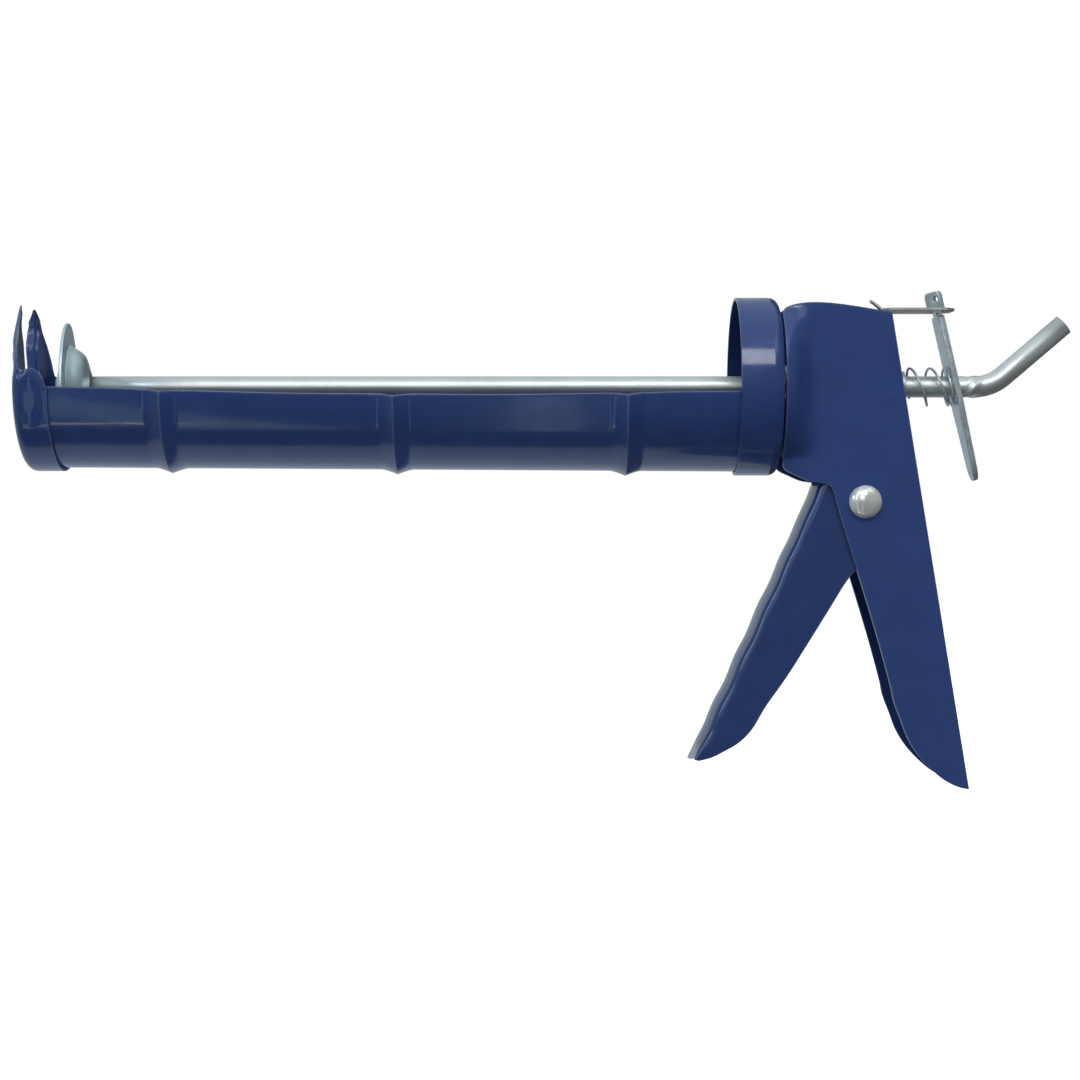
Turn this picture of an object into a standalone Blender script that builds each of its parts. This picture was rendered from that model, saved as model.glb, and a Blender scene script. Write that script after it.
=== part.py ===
"""Half-barrel caulking gun: a pressed cradle with a nose cap and a rear collar, a folded handle
frame, a trigger that drives two grip plates along a smooth rod, and a release lever at the back.

Everything is drawn in the rod's frame, in millimetres: X runs along the rod from the nose to the
hook, Y across the gun and Z up, with zero on the rod's axis. One empty then places that frame so
that the origin is the middle of the gun's box."""

import math

import bmesh
import bpy
from mathutils import Matrix, Vector

MM = 0.001
GAP = 0.3                                  # air between pieces that touch
ROD_FRAME_AT = (-2.116, 0.0, 45.978)       # the rod frame's zero, seen from the box's middle

# Rod
ROD_R = 3.2
ROD_HOLE_R = 3.5
ROD_FRONT_X = -146.2
HOOK_BEND_X = 131.4
HOOK_BEND_R = 13.6
HOOK_ANGLE = math.radians(40.5)
HOOK_STRAIGHT = 23.9
CRIMP_X = (129.2, 131.3)                   # where the rod is squashed flat, so that it can't pull out

# Cradle, nose cap and collar
CRADLE_R = 25.1
CRADLE_T = 0.9
CRADLE_FRONT_X = -151.7
CRADLE_REAR_X = 68.3
CRADLE_AXIS_Z = (0.75, -0.6)               # the cradle lies a little lower at the collar than at the nose
CRADLE_TOP_Z = -2.4                        # its long edges, from its own axis
RIB_X = (-111.7, -43.1, 25.8)
RIB_H = 1.35
RIB_W = 5.5
SEAT_X = -153.6                            # inner face of the nose cap, where a cartridge stops
NOSE_T = 0.9
NOSE_R = 26.3
NOSE_REAR_X = -144.0
NOSE_AXIS_Z = 0.8
HORN_R = 25.1                              # round ends of the two horns beside the slot
HORN_FOOT_Z = 4.4
HORN_EDGE_X = -152.4
CHEEK_TOP = ((HORN_EDGE_X, HORN_FOOT_Z), (-150.4, 3.9), (-148.4, 4.6), (-146.1, 3.2), (-145.0, 1.1),
             (-144.4, -0.8), (-143.6, -2.4))       # top line of the cap's side cheeks, X and Z
SLOT_HALF = 8.8
SLOT_LIP = 1.7
LIP_TOP_Z = 20.5
COLLAR_R = 26.85
COLLAR_T = 0.9
COLLAR_FRONT_X = 58.8
COLLAR_BACK_X = 71.7
COLLAR_WALL_T = 1.0
COLLAR_CORNER_R = 3.1
GUIDE_HOLE_R = 5.5

# Handle frame
FRAME_HALF = 12.0
FRAME_T = 1.0
FRAME_FRONT_X = 72.3
FRAME_FLARE_R = 24.0
FRAME_FLARE_LENGTH = 11.0
SPINE_X = 108.7                            # outer face of the spine at rod height
SPINE_SLOPE = 0.1655                       # how far the spine leans back for each unit down
SPINE_BEND_R = 2.6
SPINE_HOLE_R = 5.0
TOP_BULGE = 2.7
# Each row of the frame: front edge X and Z, and the height where the row meets the spine.
FRAME_ROWS = (
    (72.3, 22.2, 21.7), (72.3, 17.0, 17.0), (72.3, 11.0, 11.0), (72.3, 4.0, 4.0),
    (72.3, -4.0, -4.0), (72.3, -11.0, -11.0), (72.3, -17.0, -16.5), (72.3, -25.0, -22.5),
    (76.2, -26.8, -25.5), (80.2, -28.5, -28.0), (85.8, -29.5, -30.5), (87.3, -31.2, -33.0),
    (88.2, -34.3, -36.5), (90.3, -41.5, -43.5), (93.9, -53.1, -55.0), (97.4, -64.3, -66.0),
    (101.0, -76.3, -78.0), (105.6, -94.0, -96.0), (112.0, -121.5, -121.5),
)
FRAME_HEEL = ((105.3, -92.8), (106.0, -95.4), (107.8, -100.0), (109.6, -104.8), (112.0, -109.0), (115.3, -113.0),
              (120.0, -117.3), (124.0, -119.7), (128.7, -120.8))   # the curved lower end
TAB_X = (98.2, 104.9)
TAB_HALF = 7.5
TAB_Z = (21.3, 22.3)

# Trigger, its pivot and the drive
PIVOT = (97.0, 0.0, -34.7)
TRIGGER_HALF = 10.6
TRIGGER_T = 1.0
WEB_TOP = (83.5, -29.6)
WEB_TIP = (46.3, -111.9)
TRIGGER_BOTTOM = ((47.0, -112.2), (51.0, -111.4), (54.8, -109.7), (58.5, -107.6), (62.4, -104.2))
TRIGGER_REAR = ((67.3, -96.4), (73.8, -87.3), (80.3, -77.0), (86.8, -66.4), (92.4, -57.5),
                (98.5, -51.0), (102.8, -44.0), (104.7, -36.5), (104.6, -28.0), (103.2, -12.0))
EAR_NOSE = (99.6, 0.0)                     # rounded tips of the ears, which push the grip plates
EAR_NOSE_R = 3.0
TRIGGER_THROAT = ((96.6, -13.8), (92.8, -21.5), (87.6, -27.4))
SLEEVE_R = (2.7, 3.5)
RIVET_R = 2.4
PIVOT_HOLE_R = 2.7
EAR_HOLE_R = 3.8
GRIP_T = 1.6
GRIP_HALF = (10.4, 13.0)
GRIP_X = (92.8, 94.7)                      # front faces of the two grip plates at rest
DRIVE_SPRING = (73.7, 92.0, 6.2, 0.45, 3.6, 0.0)   # start X, end X, coil radius, wire radius, turns, lean

# Pusher, which sits loosely on the rod and a few degrees askew
PUSHER_AT = (-142.9, 0.0, 0.0)
PUSHER_YAW = math.radians(4.5)
DISC_R = 19.2
DISC_T = 1.0
RECESS_R = 6.5                             # shallow recess in the disc's face, where the nut sits
RECESS_DEPTH = 0.25
HUB_HOLE_R = 4.2
NUT_HOLE_R = 3.6
NUT_T = 2.2

# Release lever, its bracket and its spring
LEVER_TILT = math.radians(13.0)
LEVER_PIVOT = (120.0, 0.0, 23.0)
LEVER_T = 1.7
LEVER_HALF = 6.6
TONGUE_HALF = 3.0
TONGUE_UP = 5.8
LEVER_DOWN = 52.7
LEVER_HOLE_DOWN = 23.6
BRACKET_Z = 23.4
BRACKET_T = 0.8
BRACKET_ROWS = ((100.0, 2.9, 1.5), (103.4, 0.3, 2.0), (104.4, 0.0, 8.2), (112.6, 0.0, 8.2),
                (121.9, 0.0, 8.2), (124.7, 0.0, 4.2))      # X, rise above BRACKET_Z, half width
BRACKET_SLOT = ((118.2, 121.8), 3.9)
RELEASE_SPRING = (112.0, 123.0, 5.6, 0.37, 3.1, 0.21)

BLUE = ((0.012, 0.024, 0.11), 0.35, 0.0)
ZINC = ((0.52, 0.58, 0.60), 0.38, 0.9)
STEEL = ((0.62, 0.63, 0.64), 0.28, 1.0)


def new_collection(name):
    collection = bpy.data.collections.new(name)
    bpy.context.scene.collection.children.link(collection)
    return collection


for old in list(bpy.data.objects):
    bpy.data.objects.remove(old)
PARTS = new_collection("caulking_gun")
CUTTERS = new_collection("cutters")
ROD_FRAME = bpy.data.objects.new("rod_frame", None)
ROD_FRAME.location = [value * MM for value in ROD_FRAME_AT]
PARTS.objects.link(ROD_FRAME)


def paint(obj, look):
    colour, roughness, metallic = look
    material = bpy.data.materials.new(obj.name)
    material.use_nodes = True
    shader = material.node_tree.nodes["Principled BSDF"]
    shader.inputs["Base Color"].default_value = (*colour, 1.0)
    shader.inputs["Roughness"].default_value = roughness
    shader.inputs["Metallic"].default_value = metallic
    obj.data.materials.append(material)


def place(obj, origin, look):
    """Put an object, drawn round its own origin, at that point of the rod frame."""
    (PARTS if look else CUTTERS).objects.link(obj)
    obj.parent = ROD_FRAME
    obj.location = [value * MM for value in origin]
    if look:
        paint(obj, look)
        obj.data.shade_smooth()
        obj.data.set_sharp_from_angle(angle=math.radians(35))
    else:
        obj.hide_render = True
        obj.display_type = "WIRE"
    return obj


def mesh_object(name, points, faces, edges=()):
    mesh = bpy.data.meshes.new(name)
    mesh.from_pydata([Vector(p) * MM for p in points], edges, faces)
    return bpy.data.objects.new(name, mesh)


def turned(name, profile, look, origin=(0, 0, 0), axis="X", steps=28):
    """A solid turned about the axis, from a profile of (distance along the axis, radius)."""
    area = sum(a[0] * b[1] - b[0] * a[1] for a, b in zip(profile, profile[1:] + profile[:1]))
    if area < 0:
        profile = profile[::-1]
    edges = [(i, i + 1) for i in range(len(profile) - 1)]
    if min(radius for _, radius in profile) > 0:
        edges.append((len(profile) - 1, 0))
    obj = mesh_object(name, [(radius, 0, along) for along, radius in profile], [], edges)
    screw = obj.modifiers.new("turn", "SCREW")
    screw.steps = screw.render_steps = steps
    screw.use_merge_vertices = True
    screw.merge_threshold = 0.00001
    place(obj, origin, look)
    obj.rotation_euler = (0, math.pi / 2, 0) if axis == "X" else (-math.pi / 2, 0, 0)
    return obj


def circle(centre, radius, count=28, stretch=1.0):
    turns = [2 * math.pi * i / count for i in range(count)]
    return [(centre[0] + radius * math.cos(a), centre[1] + radius * stretch * math.sin(a)) for a in turns]


def arc(centre, radius, start, end, count):
    angles = [math.radians(start + (end - start) * i / count) for i in range(count + 1)]
    return [(centre[0] + radius * math.cos(a), centre[1] + radius * math.sin(a)) for a in angles]


PLANES = {
    "XZ": Matrix(((1, 0, 0), (0, 0, -1), (0, 1, 0))),
    "YZ": Matrix(((0, 0, 1), (1, 0, 0), (0, 1, 0))),
}


def plate(name, loops, thickness, plane, look, origin=(0, 0, 0), tilt=0.0):
    """A flat plate with holes: closed outlines in one plane, thick about that plane."""
    curve = bpy.data.curves.new(name, "CURVE")
    curve.dimensions = "2D"
    curve.fill_mode = "BOTH"
    curve.extrude = thickness * MM / 2
    for loop in loops:
        spline = curve.splines.new("POLY")
        spline.points.add(len(loop) - 1)
        for point, (across, up) in zip(spline.points, loop):
            point.co = (across * MM, up * MM, 0, 1)
        spline.use_cyclic_u = True
    obj = as_mesh(name, curve)
    turn = Matrix.Rotation(tilt, 3, "Y") @ PLANES[plane]
    obj.data.transform(turn.to_4x4())
    return place(obj, origin, look)


def as_mesh(name, curve):
    """Make a curve a closed mesh, so that it can be cut and joined."""
    guide = bpy.data.objects.new(name + "_guide", curve)
    bpy.context.scene.collection.objects.link(guide)
    evaluated = guide.evaluated_get(bpy.context.evaluated_depsgraph_get())
    mesh = bpy.data.meshes.new_from_object(evaluated)
    bpy.data.objects.remove(guide)
    work = bmesh.new()
    work.from_mesh(mesh)
    bmesh.ops.remove_doubles(work, verts=work.verts, dist=0.000005)
    bmesh.ops.recalc_face_normals(work, faces=work.faces)
    work.to_mesh(mesh)
    work.free()
    mesh.name = name
    return bpy.data.objects.new(name, mesh)


def wire(name, points, radius, look, resolution=2):
    """A round wire or rod through a list of points."""
    curve = bpy.data.curves.new(name, "CURVE")
    curve.dimensions = "3D"
    curve.bevel_depth = radius * MM
    curve.bevel_resolution = resolution
    curve.use_fill_caps = True
    spline = curve.splines.new("POLY")
    spline.points.add(len(points) - 1)
    for point, place_at in zip(spline.points, points):
        point.co = (*(Vector(place_at) * MM), 1)
    return place(as_mesh(name, curve), (0, 0, 0), look)


def sheet(name, rows, thickness, look):
    """Sheet metal: an open surface through rows of points, thickened away from its outer side."""
    width = len(rows[0])
    points = [point for row in rows for point in row]
    faces = [
        (r * width + c, r * width + c + 1, (r + 1) * width + c + 1, (r + 1) * width + c)
        for r in range(len(rows) - 1)
        for c in range(width - 1)
    ]
    obj = mesh_object(name, points, faces)
    solid = obj.modifiers.new("thickness", "SOLIDIFY")
    solid.thickness = thickness * MM
    solid.offset = -1
    solid.use_even_offset = True
    return place(obj, (0, 0, 0), look)


def box(name, low, high, look=None):
    corners = [(x, y, z) for x in (low[0], high[0]) for y in (low[1], high[1]) for z in (low[2], high[2])]
    work = bmesh.new()
    bmesh.ops.create_cube(work, size=1.0)
    middle = (Vector(corners[0]) + Vector(corners[-1])) / 2
    span = Vector(corners[-1]) - Vector(corners[0])
    mesh = bpy.data.meshes.new(name)
    work.to_mesh(mesh)
    work.free()
    mesh.transform(Matrix.Translation(middle * MM) @ Matrix.Diagonal((*(span * MM), 1)))
    return place(bpy.data.objects.new(name, mesh), (0, 0, 0), look)


def combine(target, tool, operation="DIFFERENCE"):
    boolean = target.modifiers.new(tool.name, "BOOLEAN")
    boolean.operation = operation
    boolean.object = tool


def drill(target, centre, radius, axis, reach):
    """Cut a round hole, from reach[0] to reach[1] along the axis."""
    tool = turned(target.name + "_hole", [(reach[1], 0.0), (reach[1], radius), (reach[0], radius),
                                          (reach[0], 0.0)], None, centre, axis)
    combine(target, tool)


# ---------------------------------------------------------------- barrel

def rib_height(x):
    """The three ribs pressed out of the cradle: soft feet and a sharp crest."""
    near = max(0.0, max(1.0 - abs(x - rib) / RIB_W for rib in RIB_X))
    return RIB_H * near ** 1.5


def cradle_axis_z(x):
    front, rear = CRADLE_AXIS_Z
    return front + (rear - front) * (x - CRADLE_FRONT_X) / (CRADLE_REAR_X - CRADLE_FRONT_X)


def make_cradle():
    stations = [CRADLE_FRONT_X, -148.0, -134.0]
    for rib, after in zip(RIB_X, (-78.0, -9.0, 50.0)):
        stations += [rib + RIB_W * step for step in (-1.0, -0.6, -0.3, 0.0, 0.3, 0.6, 1.0)]
        stations.append(after)
    stations.append(CRADLE_REAR_X)
    rows = []
    for x in stations:
        radius = CRADLE_R + rib_height(x)
        half = math.acos((-CRADLE_TOP_Z + 0.4 * rib_height(x)) / radius)
        angles = [half * (2 * i / 26 - 1) for i in range(27)]
        rows.append([(x, radius * math.sin(a), cradle_axis_z(x) - radius * math.cos(a)) for a in angles])
    sheet("cradle", rows, CRADLE_T, BLUE)


def make_nose_cap():
    front = SEAT_X - NOSE_T
    inner = NOSE_R - NOSE_T
    corner = [(front + 2.6 - 2.6 * math.cos(a), NOSE_R - 2.6 + 2.6 * math.sin(a))
              for a in [math.radians(15 * i) for i in range(7)]]
    cap = turned("nose_cap", [(front, 2.0)] + corner + [(NOSE_REAR_X, NOSE_R), (NOSE_REAR_X, inner),
                 (SEAT_X + 1.8, inner), (SEAT_X + 0.5, inner - 0.5), (SEAT_X, inner - 1.8), (SEAT_X, 2.0)],
                 BLUE, (0, 0, NOSE_AXIS_Z), steps=60)
    axis = (0, NOSE_AXIS_Z)
    band = [(-SLOT_HALF - NOSE_T, LIP_TOP_Z)] + arc(axis, SLOT_HALF + NOSE_T, 180, 360, 16)
    band += [(SLOT_HALF + NOSE_T, LIP_TOP_Z), (SLOT_HALF - 0.5, LIP_TOP_Z)]
    band += arc(axis, SLOT_HALF - 0.5, 0, -180, 16) + [(-SLOT_HALF + 0.5, LIP_TOP_Z)]
    lip = plate("slot_lip", [band], SLOT_LIP + 0.5, "YZ", None, (front - SLOT_LIP / 2 + 0.25, 0, 0))
    combine(cap, lip, "UNION")
    mouth = [(-SLOT_HALF, 40.0)] + arc(axis, SLOT_HALF, 180, 360, 20) + [(SLOT_HALF, 40.0)]
    combine(cap, plate("slot", [mouth], 12.0, "YZ", None, (front, 0, 0)))
    foot = math.degrees(math.asin((HORN_FOOT_Z - NOSE_AXIS_Z) / HORN_R))
    outside = arc(axis, HORN_R, foot, 180 - foot, 24) + [(-60, HORN_FOOT_Z), (-60, 60), (60, 60), (60, HORN_FOOT_Z)]
    combine(cap, plate("horn_ends", [outside], 30.0, "YZ", None, (SEAT_X, 0, 0)))
    above = [*CHEEK_TOP, (-140.0, -2.4), (-140.0, 40.0), (HORN_EDGE_X, 40.0)]
    combine(cap, plate("cheek_tops", [above], 3 * NOSE_R, "XZ", None))


def make_rear_collar():
    inner = COLLAR_R - COLLAR_T
    wall = COLLAR_BACK_X - COLLAR_WALL_T
    outer_corner = arc((COLLAR_BACK_X - COLLAR_CORNER_R, COLLAR_R - COLLAR_CORNER_R), COLLAR_CORNER_R, 90, 0, 5)
    inner_r = COLLAR_CORNER_R - COLLAR_T
    inner_corner = arc((wall - inner_r, inner - inner_r), inner_r, 0, 90, 4)
    profile = [(COLLAR_FRONT_X, inner), (COLLAR_FRONT_X, COLLAR_R)] + outer_corner
    profile += [(COLLAR_BACK_X, GUIDE_HOLE_R), (wall, GUIDE_HOLE_R)] + inner_corner
    turned("rear_collar", profile, BLUE, steps=52)


def make_front_rod_guide():
    wall = COLLAR_BACK_X - COLLAR_WALL_T
    body = GUIDE_HOLE_R - GAP
    seat = COLLAR_BACK_X + GAP
    turned("front_rod_guide", [(wall - 1.0, ROD_HOLE_R), (wall - 1.0, body), (seat, body), (seat, 7.8),
                               (seat + 0.9, 7.8), (seat + 0.9, ROD_HOLE_R)], ZINC)


# ---------------------------------------------------------------- handle

def spine_x(z):
    return SPINE_X - SPINE_SLOPE * z


def frame_half_width(x, z):
    """The side plates spread out towards the front, to meet the round collar."""
    wide = math.sqrt(max(FRAME_FLARE_R ** 2 - z * z, FRAME_HALF ** 2))
    run = min(max((x - FRAME_FRONT_X) / FRAME_FLARE_LENGTH, 0.0), 1.0)
    return FRAME_HALF + (wide - FRAME_HALF) * (1.0 - run * run * (3.0 - 2.0 * run))


def frame_row(front_x, front_z, rear_z, bulge):
    rear_x = spine_x(rear_z)
    length = rear_x - front_x
    side = [length * u for u in (0, 0.05, 0.1, 0.16, 0.23, 0.31, 0.45, 0.7)] + [length - SPINE_BEND_R]
    near = []
    for run in side:
        u = run / length
        z = front_z + (rear_z - front_z) * u + bulge * math.sin(math.pi * u ** 0.6)
        near.append((front_x + run, -frame_half_width(front_x + run, z), z))
    for turn in (math.radians(a) for a in (22.5, 45.0, 67.5, 90.0)):
        x = rear_x - SPINE_BEND_R * (1 - math.sin(turn))
        near.append((x, -FRAME_HALF + SPINE_BEND_R * (1 - math.cos(turn)), rear_z))
    near.append((rear_x, -4.5, rear_z))
    return near + [(x, -y, z) for x, y, z in reversed(near)]


def make_handle_frame():
    rows = [frame_row(x, z, rear, TOP_BULGE if i == 0 else 0.4 * TOP_BULGE if i == 1 else 0.0)
            for i, (x, z, rear) in enumerate(FRAME_ROWS)]
    frame = sheet("handle_frame", rows[::-1], FRAME_T, BLUE)
    tab = box("spine_tab", (TAB_X[0], -TAB_HALF, TAB_Z[0]), (TAB_X[1], TAB_HALF, TAB_Z[1]))
    combine(frame, tab, "UNION")
    heel = [*FRAME_HEEL, (135, -120.8), (135, -130), (95, -130), (95, -92.8)]
    combine(frame, plate("heel", [heel], 4 * FRAME_HALF, "XZ", None))
    drill(frame, PIVOT, PIVOT_HOLE_R, "Y", (-20, 20))
    drill(frame, (SPINE_X, 0, 0), SPINE_HOLE_R, "X", (-4, 4))


def make_rear_rod_guide():
    body = SPINE_HOLE_R - GAP
    turned("rear_rod_guide", [(105.8, ROD_HOLE_R), (105.8, body), (110.2, body), (110.2, ROD_HOLE_R)], ZINC)


def make_pivot():
    head = FRAME_HALF + GAP
    dome = [(-head - 2.5 * math.cos(a), 5.0 * math.sin(a)) for a in [math.radians(15 * i) for i in range(7)]]
    washer = (head, head + 0.8)
    tail = washer[1] + GAP
    turned("trigger_pivot_rivet", dome + [(-head, RIVET_R), (tail, RIVET_R), (tail, 4.1), (tail + 0.9, 3.9),
                                          (tail + 1.6, 2.6), (tail + 1.8, 0.0)], ZINC, PIVOT, "Y")
    turned("rivet_washer", [(washer[0], PIVOT_HOLE_R), (washer[0], 5.4), (washer[1], 5.4),
                            (washer[1], PIVOT_HOLE_R)], ZINC, PIVOT, "Y")
    half = FRAME_HALF - FRAME_T - GAP
    turned("pivot_sleeve", [(-half, SLEEVE_R[0]), (-half, SLEEVE_R[1]), (half, SLEEVE_R[1]),
                            (half, SLEEVE_R[0])], STEEL, PIVOT, "Y")


# ---------------------------------------------------------------- trigger and drive

def make_trigger():
    nose = arc(EAR_NOSE, EAR_NOSE_R, 0, 180, 8)
    outline = [WEB_TOP, WEB_TIP, *TRIGGER_BOTTOM, *TRIGGER_REAR, *nose, *TRIGGER_THROAT]
    centred = [(x - PIVOT[0], z - PIVOT[2]) for x, z in outline]
    trigger = plate("trigger", [centred], 2 * TRIGGER_HALF, "XZ", BLUE, PIVOT)
    along = (Vector(WEB_TIP) - Vector(WEB_TOP)).normalized()
    inward = Vector((-along.y, along.x)) * TRIGGER_T
    top = Vector(WEB_TOP) + inward - along * 6
    tip = Vector(WEB_TIP) + inward + along * 4
    hollow = [tuple(top), tuple(tip), (75, -125), (125, -60), (125, 20), (top.x, 20)]
    combine(trigger, plate("trigger_hollow", [hollow], 2 * (TRIGGER_HALF - TRIGGER_T), "XZ", None))
    drill(trigger, PIVOT, EAR_HOLE_R, "Y", (-20, 20))


def make_grip_plates():
    across, up = GRIP_HALF
    outline = [(-across, -up), (across, -up), (across, up - 2), (across - 2, up), (2 - across, up),
               (-across, up - 2)]
    for name, x in zip(("grip_plate_front", "grip_plate_rear"), GRIP_X):
        plate(name, [outline, circle((0, 0), ROD_HOLE_R)], GRIP_T, "YZ", STEEL, (x + GRIP_T / 2, 0, 0))


def make_spring(name, size, look):
    """A coil whose turns lean back by the given share of their height."""
    start, end, coil_r, wire_r, turns, lean = size
    count = round(turns * 18)
    points = []
    for i in range(count + 1):
        angle = 2 * math.pi * turns * i / count
        z = coil_r * math.sin(angle)
        points.append((start + (end - start) * i / count - lean * z, coil_r * math.cos(angle), z))
    wire(name, points, wire_r, look)


# ---------------------------------------------------------------- rod and pusher

def make_push_rod():
    centre = (HOOK_BEND_X, HOOK_BEND_R)
    points = [(x, 0, 0) for x in (ROD_FRONT_X, 0.0, 128.6, CRIMP_X[0] + 0.4, CRIMP_X[1] - 0.2)]
    for i in range(9):
        a = HOOK_ANGLE * i / 8
        points.append((centre[0] + HOOK_BEND_R * math.sin(a), 0, centre[1] - HOOK_BEND_R * math.cos(a)))
    end = Vector(points[-1]) + HOOK_STRAIGHT * Vector((math.cos(HOOK_ANGLE), 0, math.sin(HOOK_ANGLE)))
    rod = wire("push_rod", points + [tuple(end)], ROD_R, STEEL, 5)
    for vertex in rod.data.vertices:
        if CRIMP_X[0] * MM < vertex.co.x < CRIMP_X[1] * MM:
            vertex.co.y *= 1.22
            vertex.co.z *= 0.9


def make_pusher():
    face = DISC_T / 2
    disc = turned("pusher_disc", [(face, ROD_HOLE_R), (face, DISC_R - 0.2), (face - 0.2, DISC_R),
                                  (0.2 - face, DISC_R), (-face, DISC_R - 0.2), (-face, RECESS_R),
                                  (RECESS_DEPTH - face, RECESS_R - RECESS_DEPTH),
                                  (RECESS_DEPTH - face, ROD_HOLE_R)], ZINC, PUSHER_AT, steps=44)
    near = face + GAP
    hub = turned("pusher_hub", [(near, 12.7), (near + 1.3, 11.7), (near + 3.0, 10.7), (near + 4.5, 9.2),
                                (near + 5.4, 6.6), (near + 6.1, HUB_HOLE_R), (near + 5.2, HUB_HOLE_R),
                                (near + 4.5, 6.4), (near + 3.6, 8.6), (near + 1.8, 10.0), (near, 11.4)],
                 ZINC, PUSHER_AT, steps=36)
    hexagon = circle((0, 0), 5.0 / math.cos(math.pi / 6), 6)
    nut = plate("rod_end_nut", [hexagon, circle((0, 0), NUT_HOLE_R, 24)], NUT_T, "YZ", ZINC, PUSHER_AT)
    nut.data.transform(Matrix.Translation(((RECESS_DEPTH - near - NUT_T / 2) * MM, 0, 0)))
    for piece in (disc, hub, nut):
        piece.rotation_euler.z = PUSHER_YAW


# ---------------------------------------------------------------- release

def make_release_lever():
    side = LEVER_HALF
    right = [(TONGUE_HALF - 0.8, TONGUE_UP), (TONGUE_HALF, TONGUE_UP - 0.8), (TONGUE_HALF, -1.2), (side, -1.8),
             (side, -28.0), (5.5, -38.0), (4.6, -47.0), (3.6, -51.0), (2.0, -LEVER_DOWN + 0.4), (0.0, -LEVER_DOWN)]
    outline = right + [(-x, z) for x, z in reversed(right[:-1])]
    hole = circle((0, -LEVER_HOLE_DOWN), 3.65, 28, 1.09)
    eye = circle((0, TONGUE_UP - 2.3), 1.0, 12, 1.3)
    plate("release_lever", [outline, hole, eye], LEVER_T, "YZ", ZINC, LEVER_PIVOT, -LEVER_TILT)


def make_release_bracket():
    rows = [[(x, half * side, BRACKET_Z + rise) for side in (1, -1)] for x, rise, half in BRACKET_ROWS]
    bracket = sheet("release_bracket", rows, BRACKET_T, ZINC)
    (near, far), half = BRACKET_SLOT
    combine(bracket, box("tongue_slot", (near, -half, BRACKET_Z - 3), (far, half, BRACKET_Z + 3)))


make_cradle()
make_nose_cap()
make_rear_collar()
make_front_rod_guide()
make_handle_frame()
make_rear_rod_guide()
make_pivot()
make_trigger()
make_grip_plates()
make_spring("drive_spring", DRIVE_SPRING, STEEL)
make_push_rod()
make_pusher()
make_release_lever()
make_release_bracket()
make_spring("release_spring", RELEASE_SPRING, ZINC)
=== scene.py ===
import math

import bmesh
import bpy
from mathutils import Matrix, Vector
from mathutils.kdtree import KDTree


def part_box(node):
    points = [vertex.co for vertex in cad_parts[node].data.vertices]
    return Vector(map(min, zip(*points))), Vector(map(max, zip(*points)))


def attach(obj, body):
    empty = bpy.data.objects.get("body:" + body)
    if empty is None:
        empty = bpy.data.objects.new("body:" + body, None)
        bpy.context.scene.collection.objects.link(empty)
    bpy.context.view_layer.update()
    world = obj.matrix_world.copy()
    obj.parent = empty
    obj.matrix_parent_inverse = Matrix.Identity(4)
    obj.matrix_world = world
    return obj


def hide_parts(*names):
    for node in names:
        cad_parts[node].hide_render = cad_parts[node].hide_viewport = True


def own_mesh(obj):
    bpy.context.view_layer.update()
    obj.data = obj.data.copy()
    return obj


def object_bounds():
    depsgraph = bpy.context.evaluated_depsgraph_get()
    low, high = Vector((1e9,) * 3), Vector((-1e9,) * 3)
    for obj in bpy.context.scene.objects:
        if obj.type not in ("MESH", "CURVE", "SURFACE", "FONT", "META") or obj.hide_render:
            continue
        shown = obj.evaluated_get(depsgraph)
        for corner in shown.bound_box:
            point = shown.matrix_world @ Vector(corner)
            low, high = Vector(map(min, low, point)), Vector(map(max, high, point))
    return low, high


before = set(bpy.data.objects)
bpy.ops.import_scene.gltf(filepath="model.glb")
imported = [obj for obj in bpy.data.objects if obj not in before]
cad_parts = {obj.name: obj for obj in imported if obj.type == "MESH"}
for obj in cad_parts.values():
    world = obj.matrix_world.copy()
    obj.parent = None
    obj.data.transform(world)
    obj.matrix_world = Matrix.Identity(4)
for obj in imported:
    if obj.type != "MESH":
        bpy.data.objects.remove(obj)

cad_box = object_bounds()

# Everything is drawn in the rod's frame, in millimetres: X along the rod from the nose to the hook,
# Y across the gun, Z up, zero on the rod's axis. The frame says where that zero lies.
MM = 0.001
COLLAR_BACK_X = 71.7
disc_low, disc_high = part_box("pusher_disc")
ZERO = Vector((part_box("rear_collar")[1].x - COLLAR_BACK_X * MM, 0, (disc_low.z + disc_high.z) / 2))

ROD_R = 3.2
CRADLE_R, CRADLE_T = 25.1, 0.9
CRADLE_X = (-151.7, 68.3)
CRADLE_AXIS_Z = (0.75, -0.6)
RIB_X = (-111.3, -43.1, 25.8)
RIB_H, RIB_W = 1.5, 4.8
SEAT_X, NOSE_T, NOSE_R, NOSE_REAR_X = -153.6, 0.9, 26.3, -144.0
NOSE_AXIS_Z, NOSE_CORNER, HORN_R, HORN_FOOT_Z = 0.8, 2.6, 25.1, 4.4
SLOT_HALF, SLOT_LIP = 8.8, 1.7
CHEEK_TOP = (          # top line of the cap's side cheeks, X and Z
    (-152.4, 4.2), (-151.4, 3.7), (-150.4, 3.9), (-149.4, 4.4), (-148.4, 4.6),
    (-147.2, 4.2), (-146.1, 3.2), (-145.0, 1.1), (-144.4, -0.8), (-144.0, -2.0),
)
COLLAR_R, COLLAR_T, COLLAR_FRONT_X, COLLAR_WALL_T, COLLAR_CORNER = 26.85, 0.9, 58.8, 1.0, 3.1
GUIDE_HOLE_R = 5.5
FRAME_HALF, FRAME_T, FRAME_FRONT_X = 12.0, 1.0, 72.3
FLARE_R, FLARE_LENGTH = 24.0, 11.0
SPINE_X, SPINE_SLOPE, SPINE_BEND = 108.7, 0.1655, 2.0
TOP_BULGE = 2.7
PIVOT = Vector((97.0, 0.0, -34.7))
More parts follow.
